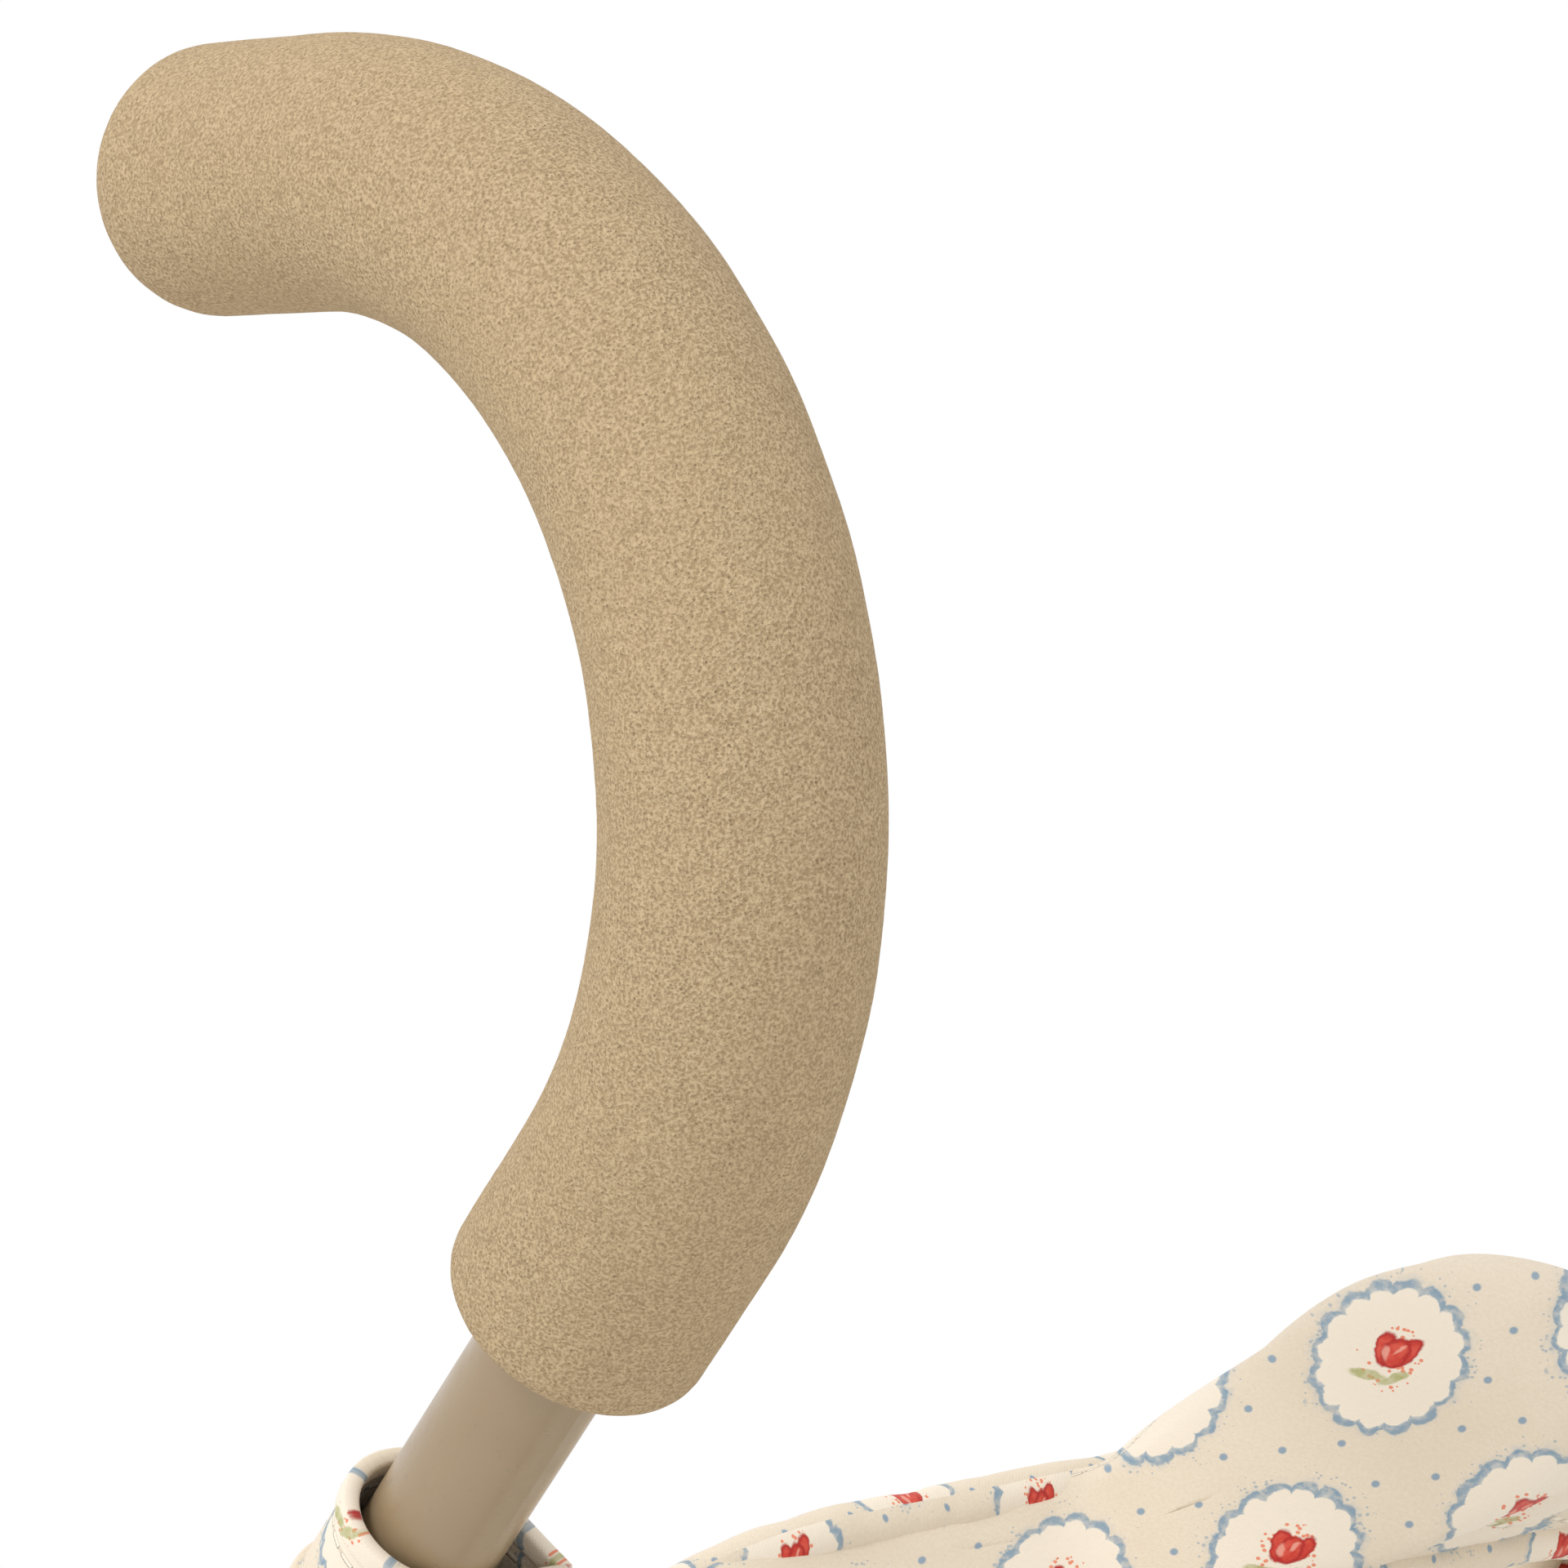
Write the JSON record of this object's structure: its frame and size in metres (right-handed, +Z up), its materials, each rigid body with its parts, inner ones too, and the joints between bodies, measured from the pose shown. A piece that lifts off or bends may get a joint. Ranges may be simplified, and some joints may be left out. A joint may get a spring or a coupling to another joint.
{
  "type": "doll's umbrella pushchair",
  "caption": "Doll's folding pushchair with foam crook handles, taupe tube frame, cross brace, twin castors, cotton sling seat and a soft hood.",
  "frame": {"origin": "on the floor under the middle of the pushchair", "axes": "+Z up, -Y forwards, +X to the pushing person's left"},
  "size_m": [0.29, 0.376, 0.5602],
  "materials": {
    "frame_paint": "gloss powder coat",
    "foam": "matt fine-cell foam",
    "moulding": "satin",
    "rivet_steel": "satin",
    "rim": "satin",
    "tyre": "matt",
    "printed_cotton": "plain weave, small floral print"
  },
  "bodies": {
    "left_frame": {"push_tube_left": "frame_paint", "grip_left": "foam", "grip_plug_left": "moulding", "rear_leg_left": "frame_paint", "leg_bracket_left": "moulding", "seat_rail_left": "frame_paint", "rail_tee_left": "moulding", "rail_cap_left": "moulding", "frame_rivets_left": "rivet_steel", "rear_housing_left": "moulding", "castor_socket_left": "moulding", "hood_clip_left": "moulding", "back_strap_left": "printed_cotton", "seat_base": "printed_cotton", "seat_back": "printed_cotton", "foot_strap": "printed_cotton", "lap_belt": "printed_cotton"},
    "right_frame": {"push_tube_right": "frame_paint", "grip_right": "foam", "grip_plug_right": "moulding", "rear_leg_right": "frame_paint", "leg_bracket_right": "moulding", "seat_rail_right": "frame_paint", "rail_tee_right": "moulding", "rail_cap_right": "moulding", "frame_rivets_right": "rivet_steel", "rear_housing_right": "moulding", "castor_socket_right": "moulding", "hood_clip_right": "moulding", "back_strap_right": "printed_cotton"},
    "brace_b": {"brace_bar_b": "frame_paint", "brace_rivet": "rivet_steel"},
    "brace_a": {"brace_bar_a": "frame_paint"},
    "slider_left": {"slider_left": "moulding", "slider_pin_left": "rivet_steel"},
    "castor_left": {"castor_fork_left": "moulding", "castor_pin_left": "rivet_steel"},
    "front_wheels_left": {"front_tyres_left": "tyre", "front_rims_left": "rim", "front_axle_left": "rivet_steel"},
    "rear_wheels_left": {"rear_tyres_left": "tyre", "rear_rims_left": "rim", "rear_axle_left": "rivet_steel"},
    "slider_right": {"slider_right": "moulding", "slider_pin_right": "rivet_steel"},
    "castor_right": {"castor_fork_right": "moulding", "castor_pin_right": "rivet_steel"},
    "front_wheels_right": {"front_tyres_right": "tyre", "front_rims_right": "rim", "front_axle_right": "rivet_steel"},
    "rear_wheels_right": {"rear_tyres_right": "tyre", "rear_rims_right": "rim", "rear_axle_right": "rivet_steel"},
    "hood": {"hood_hub_left": "moulding", "front_bow": "rivet_steel", "rear_bow": "rivet_steel", "hood": "printed_cotton"},
    "hood_end_right": {"hood_hub_right": "moulding"}
  },
  "joints": [
    {"name": "fold", "type": "hinge", "parent": "left_frame", "child": "brace_b", "pos_m": [0.108, 0.09811, 0.34974], "axis": [0, -0.9855, -0.1697], "range_deg": [0, 32.83], "deforming": ["seat_base", "seat_back", "foot_strap", "lap_belt", "back_strap_left", "back_strap_right", "hood", "front_bow", "rear_bow"]},
    {"name": "brace_cross", "type": "hinge", "parent": "brace_b", "child": "brace_a", "pos_m": [0, 0.11243, 0.26658], "axis": [0, -0.9855, -0.1697], "range_deg": [-65.86, 0.2]},
    {"name": "right_upper_pivot", "type": "hinge", "parent": "brace_a", "child": "right_frame", "pos_m": [-0.108, 0.09811, 0.34974], "axis": [0, -0.9855, -0.1697], "range_deg": [-0.2, 33.03]},
    {"name": "left_slider_pivot", "type": "hinge", "parent": "brace_a", "child": "slider_left", "pos_m": [0.108, 0.12675, 0.18343], "axis": [0, -0.9855, -0.1697], "range_deg": [-0.2, 33.03]},
    {"name": "right_slider_pivot", "type": "hinge", "parent": "brace_b", "child": "slider_right", "pos_m": [-0.108, 0.12675, 0.18343], "axis": [0, -0.9855, -0.1697], "range_deg": [-33.03, 0.2]},
    {"name": "castor_swivel_left", "type": "hinge", "parent": "left_frame", "child": "castor_left", "pos_m": [0.125, -0.163, 0.09], "axis": [0, 0, 1], "continuous": true},
    {"name": "front_wheels_left_roll", "type": "hinge", "parent": "castor_left", "child": "front_wheels_left", "pos_m": [0.125, -0.15, 0.038], "axis": [1, 0, 0], "continuous": true},
    {"name": "rear_wheels_left_roll", "type": "hinge", "parent": "left_frame", "child": "rear_wheels_left", "pos_m": [0.108, 0.15, 0.038], "axis": [1, 0, 0], "continuous": true},
    {"name": "castor_swivel_right", "type": "hinge", "parent": "right_frame", "child": "castor_right", "pos_m": [-0.125, -0.163, 0.09], "axis": [0, 0, 1], "continuous": true},
    {"name": "front_wheels_right_roll", "type": "hinge", "parent": "castor_right", "child": "front_wheels_right", "pos_m": [-0.125, -0.15, 0.038], "axis": [1, 0, 0], "continuous": true},
    {"name": "rear_wheels_right_roll", "type": "hinge", "parent": "right_frame", "child": "rear_wheels_right", "pos_m": [-0.108, 0.15, 0.038], "axis": [1, 0, 0], "continuous": true},
    {"name": "hood_tilt", "type": "hinge", "parent": "left_frame", "child": "hood", "pos_m": [0.0965, 0.04783, 0.318], "axis": [1, 0, 0], "range_deg": [0, 95]},
    {"name": "hood_tilt_right", "type": "hinge", "parent": "right_frame", "child": "hood_end_right", "pos_m": [-0.0965, 0.04783, 0.318], "axis": [1, 0, 0], "range_deg": [-0.2, 95.2]}
  ],
  "couplings": [
    {"joint": "brace_cross", "follows": "fold", "ratio": -2},
    {"joint": "right_upper_pivot", "follows": "fold", "ratio": 1},
    {"joint": "left_slider_pivot", "follows": "fold", "ratio": 1},
    {"joint": "right_slider_pivot", "follows": "fold", "ratio": -1},
    {"joint": "hood_tilt_right", "follows": "hood_tilt", "ratio": 1}
  ]
}
